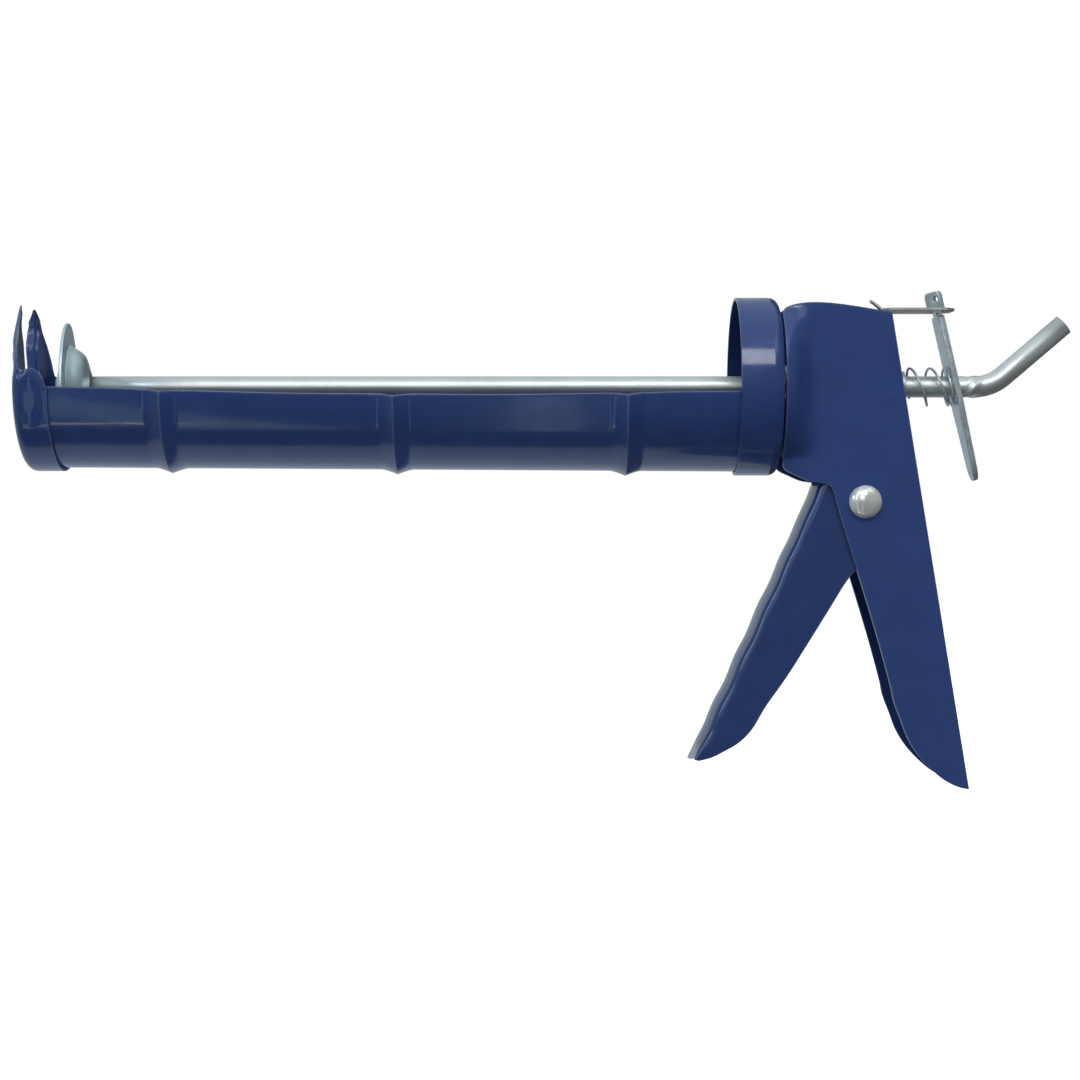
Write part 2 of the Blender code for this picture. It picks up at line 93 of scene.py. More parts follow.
TRIGGER_HALF, TRIGGER_T, TRIGGER_BEND = 10.6, 1.0, 2.7
PUSHER_AT, PUSHER_YAW = Vector((-142.9, 0.0, 0.0)), math.radians(4.5)
LEVER_TILT, LEVER_T, TONGUE_TWIST = math.radians(13.0), 1.7, math.radians(36)
LEVER_PIVOT = Vector((120.0, 0.0, 23.0))
BRACKET_Z, BRACKET_T = 23.4, 0.8


# ---------------------------------------------------------------- materials

class Nodes:
    """A material's node tree, with short calls for the nodes that every material here uses."""

    def __init__(self, name):
        self.material = bpy.data.materials.new(name)
        self.material.use_nodes = True
        self.tree = self.material.node_tree
        self.shader = self.tree.nodes["Principled BSDF"]
        self.coordinates = self.tree.nodes.new("ShaderNodeTexCoord").outputs["Object"]

    def link(self, output, socket):
        self.tree.links.new(output, socket)

    def put(self, **values):
        for name, value in values.items():
            self.shader.inputs[name.replace("_", " ")].default_value = value

    def stretched(self, scale):
        mapping = self.tree.nodes.new("ShaderNodeMapping")
        mapping.inputs["Scale"].default_value = scale
        self.link(self.coordinates, mapping.inputs["Vector"])
        return mapping.outputs["Vector"]

    def noise(self, size_mm, detail=3.0, roughness=0.5, stretch=(1, 1, 1)):
        node = self.tree.nodes.new("ShaderNodeTexNoise")
        self.link(self.stretched(stretch), node.inputs["Vector"])
        node.inputs["Scale"].default_value = 1.0 / (size_mm * MM)
        node.inputs["Detail"].default_value = detail
        node.inputs["Roughness"].default_value = roughness
        return node.outputs["Fac"]

    def attribute(self, name):
        node = self.tree.nodes.new("ShaderNodeAttribute")
        node.attribute_name = name
        return node.outputs["Fac"]

    def ramp(self, value, low, high, to_low=0.0, to_high=1.0):
        node = self.tree.nodes.new("ShaderNodeMapRange")
        node.interpolation_type = "SMOOTHSTEP"
        for name, number in zip(("From Min", "From Max", "To Min", "To Max"), (low, high, to_low, to_high)):
            node.inputs[name].default_value = number
        self.link(value, node.inputs["Value"])
        return node.outputs["Result"]

    def math(self, kind, first, second):
        node = self.tree.nodes.new("ShaderNodeMath")
        node.operation = kind
        for socket, value in zip(node.inputs, (first, second)):
            if isinstance(value, (int, float)):
                socket.default_value = value
            else:
                self.link(value, socket)
        return node.outputs["Value"]

    def mix(self, share, first, second):
        node = self.tree.nodes.new("ShaderNodeMix")
        node.data_type = "RGBA"
        self.link(share, node.inputs["Factor"])
        for socket, value in ((node.inputs["A"], first), (node.inputs["B"], second)):
            if isinstance(value, tuple):
                socket.default_value = (*value, 1.0)
            else:
                self.link(value, socket)
        return node.outputs["Result"]

    def bump(self, *layers):
        """Each layer is (height output, depth in millimetres)."""
        normal = None
        for height, depth in layers:
            node = self.tree.nodes.new("ShaderNodeBump")
            node.inputs["Distance"].default_value = depth * MM
            self.link(height, node.inputs["Height"])
            if normal:
                self.link(normal, node.inputs["Normal"])
            normal = node.outputs["Normal"]
        self.link(normal, self.shader.inputs["Normal"])


def enamel(name, tint=1.0):
    """Dark blue stoving enamel on steel: glossy, with orange peel, and lighter paint where the "edge"
    attribute is high: thinned, worn paint on the cut edges, and a painted highlight along those edges and
    along the rib crests.
    """
    nodes = Nodes(name)
    deep = tuple(c * tint for c in (0.0195, 0.0425, 0.156))
    light = tuple(c * tint for c in (0.0215, 0.0465, 0.167))
    colour = nodes.mix(nodes.ramp(nodes.noise(9.0), 0.35, 0.65), deep, light)
    patchy = nodes.ramp(nodes.noise(1.4), 0.4, 0.7, 0.55, 1.0)
    # lighter paint near cut edges and marked crests: partly worn, thinned paint, partly a painted highlight
    # line
    thin = nodes.math("MULTIPLY", nodes.ramp(nodes.attribute("edge"), 0.45, 1.0), patchy)
    colour = nodes.mix(nodes.math("MULTIPLY", thin, 0.5), colour, (0.14, 0.17, 0.25))
    nodes.link(colour, nodes.shader.inputs["Base Color"])
    nodes.link(nodes.ramp(nodes.noise(3.2, 4.0), 0.3, 0.7, 0.13, 0.2), nodes.shader.inputs["Roughness"])
    nodes.put(Coat_Weight=0.3, Coat_Roughness=0.05, IOR=1.5)
    nodes.bump((nodes.noise(1.1, 2.0), 0.006), (nodes.noise(6.5, 1.0), 0.05))
    return nodes.material


def zinc(name, colour=(0.62, 0.69, 0.70), speckle=0.15, rough=(0.26, 0.42), cloudy=0.8, metallic=0.75):
    """Bright zinc plate: bluish grey, cloudy, with fine scratches."""
    nodes = Nodes(name)
    dark = tuple(c * cloudy for c in colour)
    cloud = nodes.ramp(nodes.noise(2.6, 5.0, 0.6), 0.35, 0.68)
    tone = nodes.mix(cloud, dark, colour)
    spots = nodes.ramp(nodes.noise(0.7, 3.0, 0.7), 0.58, 0.72, 0.0, speckle)
    tone = nodes.mix(spots, tone, (0.16, 0.17, 0.17))
    nodes.link(tone, nodes.shader.inputs["Base Color"])
    nodes.put(Metallic=metallic)
    nodes.link(nodes.ramp(nodes.noise(1.3, 4.0), 0.3, 0.7, *rough), nodes.shader.inputs["Roughness"])
    scratches = nodes.noise(0.5, 2.0, 0.5, (1.0, 1.0, 0.06))
    nodes.bump((scratches, 0.004), (nodes.noise(1.8, 4.0), 0.012))
    return nodes.material


def drawn_steel(name, colour=(0.80, 0.83, 0.81), rough=(0.34, 0.42), metallic=1.0):
    """Bright drawn steel: fine lines along the rod."""
    nodes = Nodes(name)
    lines = nodes.noise(0.45, 3.0, 0.6, (0.015, 1.0, 1.0))
    blotch = nodes.ramp(nodes.noise(14.0, 4.0), 0.4, 0.7)
    tone = nodes.mix(nodes.math("MULTIPLY", blotch, 0.35), colour, tuple(c * 0.78 for c in colour))
    nodes.link(tone, nodes.shader.inputs["Base Color"])
    nodes.put(Metallic=metallic)
    nodes.link(nodes.ramp(lines, 0.3, 0.7, *rough), nodes.shader.inputs["Roughness"])
    nodes.bump((lines, 0.003))
    return nodes.material


# ---------------------------------------------------------------- mesh tools

def smooth_through(points, steps):
    """Points on a smooth curve that passes through the given ones."""
    found = []
    for i in range(len(points) - 1):
        before, a, b, after = (points[max(0, min(len(points) - 1, i + k))] for k in (-1, 0, 1, 2))
        for step in range(steps):
            t = step / steps
            found.append(tuple(
                0.5 * (2 * q + (r - p) * t + (2 * p - 5 * q + 4 * r - s) * t * t
                       + (3 * q - p - 3 * r + s) * t ** 3)
                for p, q, r, s in zip(before, a, b, after)
            ))
    return found + [tuple(points[-1])]


def arc(centre, radius, start, end, count):
    angles = [math.radians(start + (end - start) * i / count) for i in range(count + 1)]
    return [(centre[0] + radius * math.cos(a), centre[1] + radius * math.sin(a)) for a in angles]


def grid_faces(rows, columns, keep=lambda row, column: True):
    return [
        (r * columns + c, r * columns + c + 1, (r + 1) * columns + c + 1, (r + 1) * columns + c)
        for r in range(rows - 1)
        for c in range(columns - 1)
        if keep(r, c)
    ]


def mesh_piece(name, points, faces):
    mesh = bpy.data.meshes.new(name)
    mesh.from_pydata([ZERO + Vector(p) * MM for p in points], [], faces)
    piece = bpy.data.objects.new(name, mesh)
    bpy.context.scene.collection.objects.link(piece)
    return piece


def mark_edge_wear_and_highlight(piece, wear_and_highlight_points, reach=0.7):
    """Store how near each point is to a cut edge or to a given point. This is used for the paint's wear on
    the edges, and for the painted highlight lines that the same lighter paint draws along the edges and the
    rib crests.
    """
    tree = KDTree(len(wear_and_highlight_points))
    for i, point in enumerate(wear_and_highlight_points):
        tree.insert(point, i)
    tree.balance()
    layer = piece.data.attributes.new("edge", "FLOAT", "POINT")
    for i, vertex in enumerate(piece.data.vertices):
        distance = tree.find(vertex.co)[2] / MM
        layer.data[i].value = math.exp(-distance / reach)


def soften(piece, width, angle=50, segments=2):
    piece.data.shade_smooth()
    bevel = piece.modifiers.new("soft_edges", "BEVEL")
    bevel.width = width * MM
    bevel.segments = segments
    bevel.limit_method = "ANGLE"
    bevel.angle_limit = math.radians(angle)
    bevel.harden_normals = False
    weighted = piece.modifiers.new("flat_faces", "WEIGHTED_NORMAL")
    weighted.keep_sharp = True
    return piece


def shell(name, outer, inner, faces, edge_width=0.18, painted_highlight_points=()):
    """Sheet metal: an outer and an inner skin over the same faces, and a rim along every open edge. The
    rims and the extra points given are marked for the lighter edge paint: worn paint on the rims, and a
    painted highlight along the rims and at those points.
    """
    used = sorted({i for face in faces for i in face})
    place = {old: new for new, old in enumerate(used)}
    count = len(used)
    skin = [[place[i] for i in face] for face in faces]
    directed = {(face[i - 1], face[i]) for face in skin for i in range(len(face))}
    border = sorted((a, b) for a, b in directed if (b, a) not in directed)
    made = skin + [[count + i for i in reversed(face)] for face in skin]
    made += [[b, a, count + a, count + b] for a, b in border]
    piece = mesh_piece(name, [outer[i] for i in used] + [inner[i] for i in used], made)
    rim = [
        piece.data.vertices[i + inner_skin].co.copy()
        for pair in border for i in pair for inner_skin in (0, count)
    ]
    # rims and the extra points get the lighter edge paint, which is wear on the rims and also a painted
    # highlight line
    mark_edge_wear_and_highlight(piece, rim + [ZERO + Vector(point) * MM for point in painted_highlight_points])
    return soften(piece, edge_width)


def turned(name, profile, origin=(0, 0, 0), axis="X", steps=96, width=0.15):
    """A solid turned about the axis, from a profile of (distance along the axis, radius)."""
    area = sum(a[0] * b[1] - b[0] * a[1] for a, b in zip(profile, profile[1:] + profile[:1]))
    if area < 0:
        profile = profile[::-1]
    origin = Vector(origin)
    closed = min(radius for _, radius in profile) > 0
    points = []
    rings = []
    for along, radius in profile:
        ring = []
        for i in range(steps if radius > 0 else 1):
            a = 2 * math.pi * i / steps
            spot = Vector((along, radius * math.cos(a), radius * math.sin(a)))
            if axis == "Y":
                spot = Vector((spot.z, spot.x, spot.y))
            ring.append(len(points))
            points.append(origin + spot)
        rings.append(ring)
    faces = []
    pairs = list(zip(rings, rings[1:])) + ([(rings[-1], rings[0])] if closed else [])
    for near, far in pairs:
        for i in range(steps):
            j = (i + 1) % steps
            corners = [near[i % len(near)], near[j % len(near)], far[j % len(far)], far[i % len(far)]]
            faces.append(list(dict.fromkeys(corners)))
    piece = mesh_piece(name, points, faces)
    mark_edge_wear_and_highlight(piece, [v.co.copy() for v in piece.data.vertices][:1])
    return soften(piece, width, 35)


def plate(name, loops, thickness, origin, tilt=0.0, rounding=0.22, twist=0.0):
    """A flat plate across the rod, with holes and rounded edges, drawn in its own Y and Z."""
    curve = bpy.data.curves.new(name, "CURVE")
    curve.dimensions = "2D"
    curve.fill_mode = "BOTH"
    curve.bevel_depth = rounding * MM
    curve.bevel_resolution = 2
    curve.offset = -rounding * MM
    curve.extrude = (thickness / 2 - rounding) * MM
    for loop in loops:
        spline = curve.splines.new("POLY")
        spline.points.add(len(loop) - 1)
        for point, (across, up) in zip(spline.points, loop):
            point.co = (across * MM, up * MM, 0, 1)
        spline.use_cyclic_u = True
    stand_up = Matrix(((0, 0, 1), (1, 0, 0), (0, 1, 0)))
    turn = Matrix.Rotation(tilt, 3, "Y") @ Matrix.Rotation(twist, 3, "Z") @ stand_up
    return from_curve(name, curve, Matrix.Translation(ZERO + Vector(origin) * MM) @ turn.to_4x4())


def from_curve(name, curve, matrix=None):
    guide = bpy.data.objects.new(name + "_guide", curve)
    bpy.context.scene.collection.objects.link(guide)
    mesh = bpy.data.meshes.new_from_object(guide.evaluated_get(bpy.context.evaluated_depsgraph_get()))
    bpy.data.objects.remove(guide)
    mesh.name = name
    if matrix:
        mesh.transform(matrix)
    piece = bpy.data.objects.new(name, mesh)
    bpy.context.scene.collection.objects.link(piece)
    weld = piece.modifiers.new("weld", "WELD")
    weld.merge_threshold = 0.000002
    mesh.shade_smooth()
    mesh.set_sharp_from_angle(angle=math.radians(40))
    return piece


def wire(name, points, radius, resolution=6):
    curve = bpy.data.curves.new(name, "CURVE")
    curve.dimensions = "3D"
    curve.bevel_depth = radius * MM
    curve.bevel_resolution = resolution
    curve.use_fill_caps = True
    spline = curve.splines.new("POLY")
    spline.points.add(len(points) - 1)
    for point, spot in zip(spline.points, points):
        point.co = (*(ZERO + Vector(spot) * MM), 1)
    return from_curve(name, curve)


def finish_piece(piece, body, material, *nodes, slot=None):
    piece.data.materials.clear()
    piece.data.materials.append(material)
    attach(piece, body)
    if nodes:
        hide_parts(*nodes)
    return piece


# ---------------------------------------------------------------- barrel

def ease(t):
    t = min(max(t, 0.0), 1.0)
    return t * t * (3 - 2 * t)


def rib_height(x):
    near = max(0.0, max(1.0 - abs(x - rib) / RIB_W for rib in RIB_X))
    return RIB_H * near ** 1.35


def cradle_stations():
    stations = set()
    x = CRADLE_X[0]
    while x < CRADLE_X[1]:
        stations.add(round(x, 3))
        x += 0.5 if min(abs(x - rib) for rib in RIB_X) < RIB_W + 3 else 2.4
    return sorted(stations | set(RIB_X) | {CRADLE_X[1]})


CRADLE_TOP_Z, CRADLE_TOP_RISE = 1.6, 1.5          # the top edge at the ends, and its rise between them
CRADLE_COLUMNS = 81


def make_cradle():
    outer, inner, painted_crest_highlights = [], [], []
    stations = cradle_stations()
    for x in stations:
        lift = rib_height(x)
        radius = CRADLE_R + lift
        run = (x - CRADLE_X[0]) / (CRADLE_X[1] - CRADLE_X[0])
        middle = CRADLE_AXIS_Z[0] + (CRADLE_AXIS_Z[1] - CRADLE_AXIS_Z[0]) * run
        top = CRADLE_TOP_Z + CRADLE_TOP_RISE * ease(min(run, 1 - run) / 0.4) + 0.4 * lift
        half = math.acos(top / radius)
        for i in range(CRADLE_COLUMNS):
            a = half * (2 * i / (CRADLE_COLUMNS - 1) - 1)
            outer.append((x, radius * math.sin(a), middle - radius * math.cos(a)))
            thin = radius - CRADLE_T
            inner.append((x, thin * math.sin(a), middle - thin * math.cos(a)))
        # each rib crest is marked for the lighter edge paint, which draws a painted highlight line along
        # the crest
        if x in RIB_X:
            painted_crest_highlights += outer[-CRADLE_COLUMNS:]
    piece = shell("cradle_shell", outer, inner, grid_faces(len(stations), CRADLE_COLUMNS), painted_highlight_points=painted_crest_highlights)
    finish_piece(piece, "frame", enamel("cradle_enamel"), "cradle", slot="cradle_paint")


def between(spots, x):
    """The value at x on the line through the spots."""
    for (x0, z0), (x1, z1) in zip(spots, spots[1:]):
        if x <= x1:
            return z0 + (z1 - z0) * min(max((x - x0) / (x1 - x0), 0.0), 1.0)
    return spots[-1][1]


HORN_CURL = (          # how far the cap's outer corner is rolled over, in radians, against its height
    (-2.0, 1.57), (1.0, 1.35), (4.4, 1.0), (6.4, 0.72), (12.0, 0.30), (17.0, 0.06), (25.0, 0.03),
)
HORN_TIP_ANGLE = 67.4
HORN_PINCH, PINCH_FROM, PINCH_RUN = 0.32, 11.0, 8.0     # each horn narrows towards its tip
THIN_TOP, THIN_RUN = 24.4, 4.0                         # and its sheet thins there
LIP_END = {-1: 22.6, 1: 24.2}         # height where the near and the far horn's lip has run out,
LIP_FADE = {-1: 14.0, 1: 4.6}         # and how long it takes to fade
HORN_LEAN = 0.6
DISH_AT, DISH_SIZE, DISH_DEPTH = (-149.4, -5.1), (3.6, 7.6), 0.5      # the hollow pressed in each cheek
SKIRT_SHARES = (0.06, 0.14, 0.25, 0.37, 0.5, 0.62, 0.74, 0.85, 0.93, 1.0)


def nose_angles():
    """Angles from a horn's tip to the middle of the bottom, and the row at the horn's foot."""
    tip = HORN_TIP_ANGLE
    foot = math.degrees(math.asin((HORN_FOOT_Z - NOSE_AXIS_Z) / HORN_R))
    horn = [tip + (foot - tip) * (i / 26) for i in range(27)]
    cheek = [foot * (1 - i / 4) for i in (1, 2, 3, 4)]
    bottom = [-90 * i / 36 for i in range(1, 37)]
    return horn + cheek + bottom, len(horn) - 1


def nose_row(angle, foot, has_skirt, side):
    """Points of the cap's two skins along one line from the slot's edge out to the skirt's end."""
    a = math.radians(angle)
    outward = Vector((math.cos(a), math.sin(a)))
    blend = ease((HORN_FOOT_Z - NOSE_AXIS_Z - HORN_R * outward.y) / 5.0 + 0.3)
    rim_r = HORN_R + (NOSE_R - HORN_R) * blend
    height = rim_r * outward.y
    slot = Vector((SLOT_HALF, height)) if height > 0 else outward * SLOT_HALF
    rim = outward * rim_r
    pinch = HORN_PINCH * ease((height - PINCH_FROM) / PINCH_RUN)
    slot, rim = slot.lerp(rim, pinch), rim.lerp(slot, pinch)
    lip = min(max((LIP_END[side] - height) / LIP_FADE[side], 0.1), 1.0)
    thick = NOSE_T * min(max((THIN_TOP - height) / THIN_RUN, 0.25), 1.0)
    curl = between(HORN_CURL, height + NOSE_AXIS_Z)
    width = (rim - slot).length
    bend = min(1.0, 0.2 * width) * lip
    length = min(NOSE_CORNER * math.pi / 2, 0.55 * width)
    corner = length / curl
    turn_start = rim - outward * corner * math.sin(curl)
    away = (turn_start - slot).normalized()
    front = SEAT_X - NOSE_T
    outer, inner = [], []

    def add(x, spot, inside_x, inside):
        outer.append((x, spot.x, spot.y))
        inner.append((inside_x, inside.x, inside.y))

    for x in (front - bend - SLOT_LIP * lip, front - bend - SLOT_LIP * lip * 0.45, front - bend):
        add(x, slot, x, slot + away * thick * min(lip, 0.9 * width))
    for k in (1, 2, 3):
        turn = math.radians(30 * k)
        spot = slot + away * bend * (1 - math.cos(turn))
        inside = slot + away * (thick * lip * min(1, width / 2) + bend * 0.25 * (1 - math.cos(turn)))
        forward = bend * (1 - math.sin(turn))
        add(front - forward, spot, front + thick * math.sin(turn) - forward * 0.5, inside)
    start = slot + away * max(bend, thick * lip * min(1, width / 2) + bend * 0.25) * 1.05
    for share in (0.12, 0.35, 0.55, 0.75, 0.9, 1.0):
        spot = start.lerp(turn_start, share)
        add(front, spot, front + thick, spot)
    for k in range(1, 7):
        turn = curl * k / 6
        thin = corner - thick
        add(front + corner * (1 - math.cos(turn)), turn_start + outward * corner * math.sin(turn),
            front + corner - thin * math.cos(turn), turn_start + outward * thin * math.sin(turn))
    skirt_x = front + corner * (1 - math.cos(curl))
    if has_skirt:
        for share in SKIRT_SHARES:
            x = skirt_x + (NOSE_REAR_X - skirt_x) * share
            skirt_r = rim_r + (NOSE_R - rim_r) * ease(share * 4)
            top = math.degrees(math.asin((between(CHEEK_TOP, x) - NOSE_AXIS_Z) / NOSE_R))
            shift = (top - foot) * ease((angle + 42) / 48) * ease(share * 5)
            b = math.radians(angle + shift)
            spot = Vector((math.cos(b), math.sin(b)))
            across = (x - DISH_AT[0]) / DISH_SIZE[0]
            up = (spot.y * NOSE_R + NOSE_AXIS_Z - DISH_AT[1]) / DISH_SIZE[1]
            skirt_r -= DISH_DEPTH * ease(1.6 * (1 - (across ** 2 + up ** 2)))
            add(x, spot * skirt_r, x, spot * (skirt_r - thick))
    return outer, inner


def make_nose_cap():
    angles, first_skirt = nose_angles()
    foot = angles[first_skirt]
    near, far = (
        [nose_row(angle, foot, row >= first_skirt, side) for row, angle in enumerate(angles)]
        for side in (-1, 1)
    )
    full = len(near[-1][0])
    outer, inner = [], []
    rows = [(row, -1) for row in near] + [(row, 1) for row in reversed(far[:-1])]
    for (out_points, in_points), side in rows:
        for skin, points in ((outer, out_points), (inner, in_points)):
            points = points + [points[-1]] * (full - len(points))
            for x, y, z in points:
                height = z + NOSE_AXIS_Z
                skin.append((x - HORN_LEAN * ease((height - 3) / 12), side * y, height))
    last = len(rows) - 1

    def keep(r, c):
        return c < full - len(SKIRT_SHARES) - 1 or first_skirt <= r < last - first_skirt

    faces = [tuple(reversed(face)) for face in grid_faces(len(rows), full, keep)]
    piece = shell("nose_cap_shell", outer, inner, faces)
    finish_piece(piece, "frame", enamel("nose_enamel"), "nose_cap", slot="nose_cap_paint")


def make_collar():
    inner = COLLAR_R - COLLAR_T
    wall = COLLAR_BACK_X - COLLAR_WALL_T
    corner = arc((COLLAR_BACK_X - COLLAR_CORNER, COLLAR_R - COLLAR_CORNER), COLLAR_CORNER, 90, 0, 10)
    inner_corner_r = COLLAR_CORNER - COLLAR_T
    inside = arc((wall - inner_corner_r, inner - inner_corner_r), inner_corner_r, 0, 90, 8)
    profile = [(COLLAR_FRONT_X, inner), (COLLAR_FRONT_X, COLLAR_R)] + corner
    profile += [(COLLAR_BACK_X, GUIDE_HOLE_R), (wall, GUIDE_HOLE_R)] + inside
    piece = turned("collar_shell", profile, steps=160, width=0.18)
    finish_piece(piece, "frame", enamel("collar_enamel"), "rear_collar", slot="collar_paint")


# ---------------------------------------------------------------- handle

FRAME_ROWS = (          # front edge X and Z, and the height where the row meets the spine
    (72.3, 22.2, 21.7), (72.3, 17.0, 17.0), (72.3, 11.0, 11.0), (72.3, 4.0, 4.0), (72.3, -4.0, -4.0),
    (72.3, -11.0, -11.0), (72.3, -17.0, -16.5), (72.3, -22.4, -20.5), (72.6, -24.4, -22.5),
    (73.8, -25.7, -24.0), (76.2, -26.8, -25.5), (80.2, -28.5, -28.0), (84.6, -29.2, -30.0),
    (86.6, -30.0, -31.5), (87.5, -31.7, -33.5), (88.3, -34.9, -37.0), (90.3, -41.5, -43.5),
    (93.9, -53.1, -55.0), (97.4, -64.3, -66.0), (101.0, -76.3, -78.0), (104.6, -89.4, -91.0),
    (105.3, -92.8, -94.5), (106.0, -95.4, -97.0), (107.8, -100.0, -102.0), (109.6, -104.8, -106.6),
    (112.0, -109.0, -110.6), (115.3, -113.0, -114.2), (120.0, -117.3, -117.9), (124.0, -119.6, -119.9),
    (126.4, -120.4, -120.8),
)


def spine_x(z):
    return SPINE_X - SPINE_SLOPE * z


def frame_half_width(x, z):
    wide = math.sqrt(max(FLARE_R ** 2 - z * z, FRAME_HALF ** 2))
    return FRAME_HALF + (wide - FRAME_HALF) * (1.0 - ease((x - FRAME_FRONT_X) / FLARE_LENGTH))


SIDE_STEPS = (0, 0.03, 0.07, 0.11, 0.15, 0.19, 0.24, 0.29, 0.35, 0.45, 0.58, 0.72, 0.86, 0.96, 0.99, 1.0)


def channel_row(front, rear, widths, bend, inset, crown=0.0):
    """One row round a folded sheet, from the near front edge round the spine to the far one."""
    near = []
    length = (rear - front).length
    along = (rear - front) / length
    bend = min(bend, 0.7 * length)
    corner = max(bend - inset, 0.25)
    for u in SIDE_STEPS:
        spot = front + along * (length - bend) * u
        near.append(Vector((spot.x, -(widths(spot.x, spot.z) - inset), spot.z)))
    half = -near[-1].y
    start = near[-1]
    for k in range(1, 7):
        a = math.radians(15 * k)
        inward = Vector((start.x, -half + corner * (1 - math.cos(a)), start.z))
        near.append(inward + along * corner * math.sin(a))
    edge = near[-1]
    for y in (0.85, 0.7, 0.55, 0.4, 0.25, 0.1):
        near.append(Vector((edge.x, -y * (half - corner), edge.z)) + along * crown * (1 - y * y))
    far = [Vector((p.x, -p.y, p.z)) for p in reversed(near)]
    return near + [Vector((edge.x, 0, edge.z)) + along * crown] + far


def make_handle_frame():
    rows = smooth_through(FRAME_ROWS, 4)
    outer, inner = [], []
    for i, (x, z, rear_z) in enumerate(rows):
        front, rear = Vector((x, 0, z)), Vector((spine_x(rear_z), 0, rear_z))
        bulge = TOP_BULGE * (1 - ease(i / 8.0))
        for skin, inset in ((outer, 0.0), (inner, FRAME_T)):
            row = channel_row(front, rear, frame_half_width, SPINE_BEND, inset)
            for spot in row:
                u = min(max((spot.x - x) / (rear.x - x), 0.0), 1.0)
                spot.z += bulge * math.sin(math.pi * u ** 0.6)
            skin += row
        columns = len(row)
    faces = [tuple(reversed(face)) for face in grid_faces(len(rows), columns)]
    piece = shell("handle_shell", outer, inner, faces)
    finish_piece(piece, "frame", enamel("handle_enamel", 1.1), "handle_frame", slot="frame_paint")


def make_rear_guide():
    bush = turned("rear_guide_bush", [(105.8, 3.5), (105.8, 4.7), (110.2, 4.7), (110.2, 3.5)], steps=64)
    finish_piece(bush, "frame", zinc("rear_guide_look"), "rear_rod_guide", slot="rear_guide_zinc")


RIVET_GAP, RIVET_DOME, RIVET_HEAD_R, PIN_R, WASHER_ROOM = 0.3, 2.5, 5.0, 2.4, 1.1


def make_rivet():
    head = FRAME_HALF + RIVET_GAP
    dome = [
        (-head - RIVET_DOME * math.cos(a), RIVET_HEAD_R * math.sin(a))
        for a in (math.radians(7.5 * i) for i in range(13))
    ]
    tail = head + WASHER_ROOM
    profile = dome + [(-head, PIN_R), (tail, PIN_R), (tail, 4.1), (tail + 0.5, 4.1), (tail + 1.1, 3.6),
                      (tail + 1.6, 2.4), (tail + 1.8, 0.0)]
    piece = turned("pivot_rivet_head", profile, PIVOT, "Y", 64)
    look = zinc("rivet_zinc_look", (0.84, 0.86, 0.84), 0.3, (0.14, 0.26), 0.85, 0.6)
    finish_piece(piece, "frame", look, "trigger_pivot_rivet", slot="rivet_zinc")


# ---------------------------------------------------------------- trigger

TRIGGER_ROWS = (          # front X and Z, rear X and Z, from the tip up to the top of the ears
    (46.2, -112.0, 47.5, -112.4), (47.2, -109.6, 51.4, -111.4), (49.0, -105.6, 55.4, -109.4),
    (51.4, -100.4, 59.6, -106.9), (54.4, -93.9, 63.6, -102.8), (58.4, -85.2, 67.8, -95.8),
    (62.9, -75.3, 73.8, -87.3), (68.4, -63.2, 80.3, -77.0), (73.8, -51.3, 86.8, -66.4),
    (78.8, -40.3, 92.4, -57.5), (81.6, -34.2, 98.0, -51.4), (84.5, -27.2, 102.8, -44.2),
    (88.2, -25.6, 104.7, -36.5), (92.8, -21.5, 104.6, -28.0), (96.0, -14.5, 103.7, -17.5),
    (96.6, -7.0, 103.0, -9.0), (96.6, -0.5, 102.6, 0.0), (97.6, 2.2, 101.6, 2.2),
    (98.9, 2.95, 100.3, 2.95),
)
WEB_ROWS = 12
GRIP_PITCH, GRIP_DEPTH = 16.5, 0.22         # the finger waves along the trigger's front
TRIGGER_CROWN, TRIGGER_SKEW = 0.9, 2.2
SKEW_WAY = Vector((-0.41, 0, -0.91))        # the tip's far side runs on this way


def make_trigger():
    rows = smooth_through(TRIGGER_ROWS, 5)
    web_rows = (WEB_ROWS - 1) * 5 + 1
    tip = Vector((TRIGGER_ROWS[0][0], 0, TRIGGER_ROWS[0][1]))
    outer, inner = [], []
    for i, (fx, fz, rx, rz) in enumerate(rows):
        front, rear = Vector((fx, 0, fz)), Vector((rx, 0, rz))
        along = (rear - front).normalized()
        if i < web_rows:
            run = (front - tip).length
            wave = 1 - math.cos(2 * math.pi * run / GRIP_PITCH)
            front += along * GRIP_DEPTH * wave * ease(run / 12) * ease((80 - run) / 12)
        for skin, inset in ((outer, 0.0), (inner, TRIGGER_T)):
            start = front + along * inset
            bend = TRIGGER_BEND * (0.25 + 0.75 * ease(i / 14))
            crown = TRIGGER_CROWN * ease(i / 10)
            row = channel_row(rear, start, lambda x, z: TRIGGER_HALF, bend, inset, crown)
            skew = TRIGGER_SKEW * max(0.0, 1 - i / 12)
            row = [spot + SKEW_WAY * skew * max(spot.y, 0) / TRIGGER_HALF for spot in row]
            skin += row
        columns = len(row)
    side = len(SIDE_STEPS) - 1

    def keep(r, c):
        return r < web_rows - 1 or c < side or c >= columns - 1 - side

    piece = shell("trigger_shell", outer, inner, grid_faces(len(rows), columns, keep))
    finish_piece(piece, "trigger", enamel("trigger_enamel", 0.85), "trigger", slot="trigger_paint")


# ---------------------------------------------------------------- rod and pusher

ROD_FRONT_X, FINE_FROM_X, FINE_STEP = -146.2, 127.0, 0.22        # finer rings where the rod is crimped
HOOK_X, HOOK_R, HOOK_ANGLE, HOOK_LENGTH = 131.4, 13.6, math.radians(40.5), 23.9
CRIMP_X, CRIMP_REACH, CRIMP_WIDER, CRIMP_DENT = 130.6, 1.7, 0.14, 0.075


